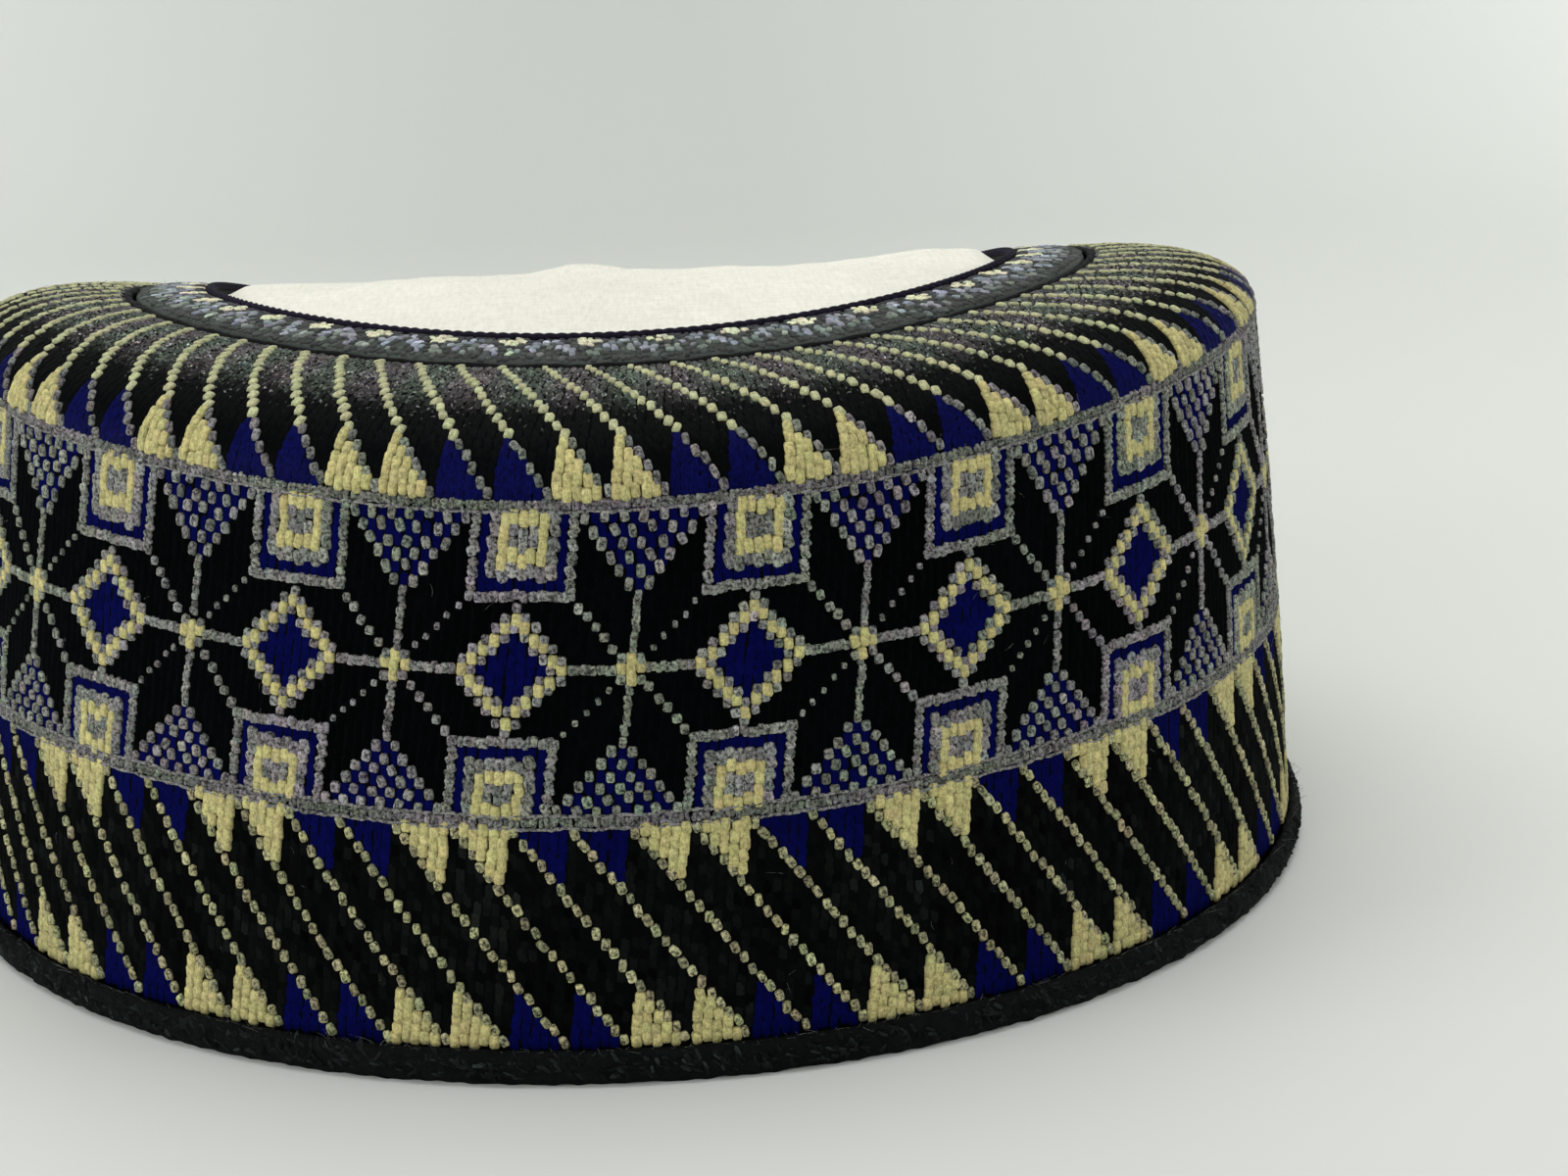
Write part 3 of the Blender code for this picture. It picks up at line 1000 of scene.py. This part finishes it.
# The binding's two legs from the top down: cloths away from the slot, and share of its height.
OUTER_LEG = (
    (0.0, 0.92), (0.25, 1.0), (0.60, 1.0), (0.92, 0.90), (1.10, 0.70),
    (1.16, 0.48), (1.12, 0.28), (0.95, 0.10), (0.70, 0.01), (0.45, 0.0),
)
INNER_LEG = (
    (0.0, 0.84), (0.3, 0.90), (0.7, 0.88), (1.0, 0.72),
    (1.04, 0.42), (0.96, 0.14), (0.75, 0.01), (0.5, 0.0),
)
BINDING_LUMP = 0.00016
SOLE_FLAT_BELOW = 0.0005


def make_binding():
    """The rolled strip round the rim, with soft lumps where it was folded and stitched."""
    turn = turns_round(900)
    slot_inside = WALL_THICKNESS + GAP
    section = [(-GAP - cloth * BINDING_CLOTH, rise * BINDING_HEIGHT) for cloth, rise in OUTER_LEG]
    for cloth, rise in INNER_LEG[::-1]:
        section.append((slot_inside + cloth * BINDING_CLOTH, rise * BINDING_HEIGHT))
    lumpy = len(section)
    section += [(slot_inside, SOLE_THICKNESS), (-GAP, SOLE_THICKNESS)]
    loops = []
    for index, (inset, height) in enumerate(section):
        lump = BINDING_LUMP * slow_wave(turn * 7, 0.4 * index, 80)
        lump += BINDING_LUMP * slow_wave(turn * 17, 0.9 * index, 81)
        if index >= lumpy:
            lump = 0.0 * lump
        lift = 0.0 if height < SOLE_FLAT_BELOW else 0.7 * lump
        loops.append(plan_points(turn, inset - lump, height + lift))
    binding = make_band("binding_cloth", loops, BINDING_FABRIC)
    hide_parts("rim_binding")


def make_binding_loops():
    """Sewing thread over the binding, in slanting loops."""
    stitches = Stitches(FLECK, 90)
    random = np.random.default_rng(91)

    def face_points(turn, level):
        cloth = np.interp(level, (0, 0.3, 0.6, 0.8, 1.0), (1.0, 1.17, 1.14, 1.02, 0.55))
        return plan_points(turn, -GAP - cloth * BINDING_CLOTH, level * BINDING_HEIGHT)

    count = 2600
    turn = random.uniform(0, 1, count)
    level = random.uniform(0.27, 0.96, count)
    colour = varied(random, srgb(22, 27, 26), count, 0.55)
    stitches.add(
        frames(face_points, turn, level, 0.02, 1.0),
        0.00022 * random.uniform(0.8, 1.4, count),
        0.0007 * random.uniform(0.7, 1.4, count),
        0.00022 * random.uniform(0.7, 1.5, count),
        np.radians(random.normal(55, 30, count)),
        colour,
    )
    stitches.make("binding_loops", "black_binding", BINDING_THREAD)


def make_hairs(name, roots, directions, lengths, bends, radius, colour, seed):
    """Thin stray fibres, each a bent three-sided tube of four steps."""
    random = np.random.default_rng(seed)
    count, steps, sides = len(roots), 5, 3
    side = unit(np.cross(directions, bends) + 1e-9)
    other = unit(np.cross(directions, side))
    points = np.zeros((count, steps, sides, 3))
    for index, share in enumerate(np.linspace(0, 1, steps)):
        middle = roots + (lengths * share)[:, None] * (directions + share * bends)
        thin = np.full(count, radius * (1 - 0.7 * share))
        points[:, index] = tube_points(middle, thin, side, other, sides).reshape(count, sides, 3)
    points = points.reshape(-1, 3)
    last = (steps - 1) * sides
    ends = np.array([(2, 1, 0), (last, last + 1, last + 2)])
    faces = copied_faces([grid_faces(steps, sides), ends], np.arange(count) * steps * sides)
    tints = np.repeat(varied(random, colour, count, 0.3), steps * sides, axis=0)
    new_object(name, points, faces, GREY_THREAD, tints, np.zeros((len(points), 2)))


def make_binding_fibres(random):
    """Ends of thread that stand off the binding's lip."""
    count = 520
    turn = random.uniform(0, 1, count)
    roots = plan_points(turn, -GAP - 0.5 * BINDING_CLOTH, 0.97 * BINDING_HEIGHT)
    _, east, north, out = wall_frames(turn, 0.12)
    mix = random.normal(0, 1, (count, 3))
    directions = unit(0.5 * mix[:, :1] * east + (0.7 + 0.3 * mix[:, 1:2]) * north + 0.55 * out)
    bends = 0.5 * (mix[:, 2:3] * east + 0.3 * out - 0.3 * north)
    lengths = random.uniform(0.0006, 0.0022, count)
    make_hairs(
        "binding_fibres", roots, directions, lengths, bends,
        radius=0.00004, colour=srgb(84, 88, 84), seed=96,
    )


def make_wall_fibres(random):
    """Lint that stands off the stitches."""
    count = 240
    turn = random.uniform(0, 1, count)
    level = random.uniform(0.2, 2.9, count)
    point, east, north, out = wall_frames(turn, level)
    roots = point + 0.0003 * out
    mix = random.normal(0, 1, (count, 3))
    directions = unit(mix[:, :1] * east + mix[:, 1:2] * north + 0.35 * out)
    bends = 0.6 * (mix[:, 2:3] * east - 0.2 * out)
    lengths = random.uniform(0.0005, 0.0016, count)
    make_hairs(
        "wall_fibres", roots, directions, lengths, bends,
        radius=0.00003, colour=srgb(96, 96, 88), seed=97,
    )


def crown_top(along, across):
    out = np.hypot(along, across)
    reach = np.maximum(out, CROWN_SEEN)
    beside = along / reach, across / reach
    seat = edge_height("ring_inside", *beside) - RING_THICKNESS - GAP
    rise = edge_height("ring_inside", *beside) - edge_height("seam", *beside)
    tucked = np.maximum(out - CROWN_SEEN, 0) / (1 - CROWN_SEEN)
    seat = seat - tucked * rise * CROWN_TUCK / (RING_START + RING_WIDTH)
    hump = 0.0 * along
    for row in HUMPS:
        away = np.hypot(along - row.along, across - row.across)
        hump += row.height * CROWN_THICKNESS * bump(away, row.reach)
    return seat + hump * bump(np.maximum(out - HUMPS_FADE_FROM, 0.0), HUMPS_FADE_OVER)


CREASE_HEIGHT = 0.00045
PUCKER_HEIGHT = 0.00030


def make_crown():
    """The bare cotton panel, with the faint creases and puckers of cloth stretched by hand."""
    inset = WALL_LEAN + SHOULDER_WIDTH + RING_START + RING_WIDTH - CROWN_TUCK
    half_length = 0.5 * CAP_LENGTH - inset
    half_width = 0.5 * CAP_WIDTH - inset
    rings, stations = 66, 216
    out = np.linspace(0, 1, rings + 1)[1:]
    swing = 2 * math.pi * turns_round(stations)
    along = np.append(0.0, np.outer(out, np.cos(swing)))
    across = np.append(0.0, np.outer(out, np.sin(swing)))
    x, y = half_length * along, half_width * across
    crease = np.array([
        noise.fractal(Vector((60 * a, 22 * b, 0.3)), 0.8, 2.1, 4) for a, b in zip(x, y)
    ])
    pucker = np.array([
        noise.noise(Vector((14 * math.cos(s), 14 * math.sin(s), 3.0))) for s in np.arctan2(across, along)
    ])
    far = np.hypot(along, across)
    height = crown_top(along, across)
    height += CREASE_HEIGHT * crease * bump(np.maximum(far - 0.70, 0.0), 0.18)
    height += PUCKER_HEIGHT * pucker * bump(far - 0.76, 0.12)
    top = np.column_stack([x, y, height])
    points = np.concatenate([top, top - [0.0, 0.0, CROWN_THICKNESS]])
    size = len(top)
    station = np.arange(stations)
    after = (station + 1) % stations
    fan = np.column_stack([np.zeros(stations, int), 1 + station, 1 + after])
    sheet = grid_faces(rings, stations, start=1)[:, ::-1]
    edge = 1 + (rings - 1) * stations
    rim = np.column_stack([edge + after, edge + station, size + edge + station, size + edge + after])
    faces = [fan, sheet, fan[:, ::-1] + size, sheet[:, ::-1] + size, rim]
    crown = new_object("crown_cloth", points, faces, CROWN_CLOTH)
    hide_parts("crown_panel")
    return crown, 2 * half_length, 2 * half_width


# The camera, floor and light.


def make_camera():
    """The photograph's view: close to the cap and a little above its top edge."""
    place = (0.0, -0.37, 0.13732)
    pitch, yaw, roll = 0.279, 0.06, -0.026
    forward = Vector((
        math.sin(yaw) * math.cos(pitch),
        math.cos(yaw) * math.cos(pitch),
        -math.sin(pitch),
    ))
    right = forward.cross(Vector((0, 0, 1))).normalized()
    up = right.cross(forward)
    turned_right = right * math.cos(roll) + up * math.sin(roll)
    turned_up = up * math.cos(roll) - right * math.sin(roll)
    lens = bpy.data.cameras.new("camera")
    lens.sensor_width = 36.0
    lens.lens = 62.1
    lens.clip_start = 0.01
    lens.clip_end = 50.0
    camera = bpy.data.objects.new("camera", lens)
    turned = Matrix((turned_right, turned_up, -forward)).transposed().to_4x4()
    camera.matrix_world = Matrix.Translation(place) @ turned
    bpy.context.scene.collection.objects.link(camera)
    bpy.context.scene.camera = camera


def make_floor():
    """A pale floor that sweeps up into a backdrop, painted lighter towards its sides and top as a
    painted pool of light.
    """
    front, bend, radius, top, half_width, steps = -1.6, 0.55, 0.35, 2.2, 2.5, 12
    path = [(front, 0.0), (bend, 0.0)]
    for step in range(1, steps + 1):
        swing = 0.5 * math.pi * step / steps
        path.append((bend + radius * math.sin(swing), radius * (1 - math.cos(swing))))
    path.append((bend + radius, top))
    points = np.array([(x, y, z) for y, z in path for x in (-half_width, half_width)])
    mesh = bpy.data.meshes.new("floor")
    faces = [(2 * i, 2 * i + 1, 2 * i + 3, 2 * i + 2) for i in range(len(path) - 1)]
    mesh.from_pydata(points.tolist(), [], faces)
    mesh.shade_smooth()
    floor = bpy.data.objects.new("floor", mesh)
    bpy.context.scene.collection.objects.link(floor)
    material, tree, shader = new_material("pale floor", 0.55, 0.3)
    place = node(tree, "ShaderNodeTexCoord").outputs["Object"]
    sideways = node(tree, "ShaderNodeVectorMath", operation="LENGTH")
    tree.links.new(scaled(tree, place, (1.0, 0.0, 0.6)), sideways.inputs[0])
    # Painted light: the floor and backdrop are painted lighter away from the middle and up the sweep.
    painted_backdrop_light = ramp(tree, sideways.outputs["Value"], 0.05, 0.40, 1.0, 1.24)
    painted(tree, shader, plain_colour(tree, srgb(229, 232, 228)), painted_backdrop_light)
    mesh.materials.append(material)


def make_light(name, place, aim, size, power, colour=(1, 1, 1)):
    lamp = bpy.data.lights.new(name, "AREA")
    lamp.shape = "RECTANGLE"
    lamp.size, lamp.size_y = size
    lamp.energy = power
    lamp.color = colour
    light = bpy.data.objects.new(name, lamp)
    light.location = place
    light.rotation_euler = (Vector(aim) - Vector(place)).to_track_quat("-Z", "Y").to_euler()
    bpy.context.scene.collection.objects.link(light)


def make_lights():
    make_light("top", (0.0, 0.05, 0.75), (0.0, 0.0, 0.05), (0.9, 0.5), 3.0, (1.0, 0.99, 0.96))
    make_light("front", (-0.25, -0.95, 0.55), (0.0, 0.0, 0.04), (0.8, 0.5), 1.8, (0.97, 0.99, 1.0))
    make_light("right", (0.85, -0.25, 0.40), (0.0, 0.0, 0.04), (0.4, 0.6), 1.1)
    make_light("left", (-0.78, -0.30, 0.22), (0.0, 0.0, 0.04), (0.4, 0.4), 1.8)
    for side in (-1, 1):
        make_light("corner", (0.72 * side, 0.62, 0.30), (0.62 * side, 0.90, 0.08), (0.3, 0.3), 0.6)
    world = bpy.data.worlds.new("soft studio")
    bpy.context.scene.world = world
    world.use_nodes = True
    background = world.node_tree.nodes["Background"]
    background.inputs["Color"].default_value = (0.95, 0.97, 0.955, 1.0)
    background.inputs["Strength"].default_value = 0.35
    bpy.context.scene.view_settings.view_transform = "Standard"


make_camera()
make_floor()
make_lights()
make_wall()
make_embroidery()
make_glints()
make_lines()
make_edge_threads()
make_ring()
make_ring_stitches()
make_seam_fold()
make_cord()
make_binding()
make_binding_loops()
fibre_random = np.random.default_rng(95)
make_binding_fibres(fibre_random)
make_wall_fibres(fibre_random)
crown, crown_length, crown_width = make_crown()
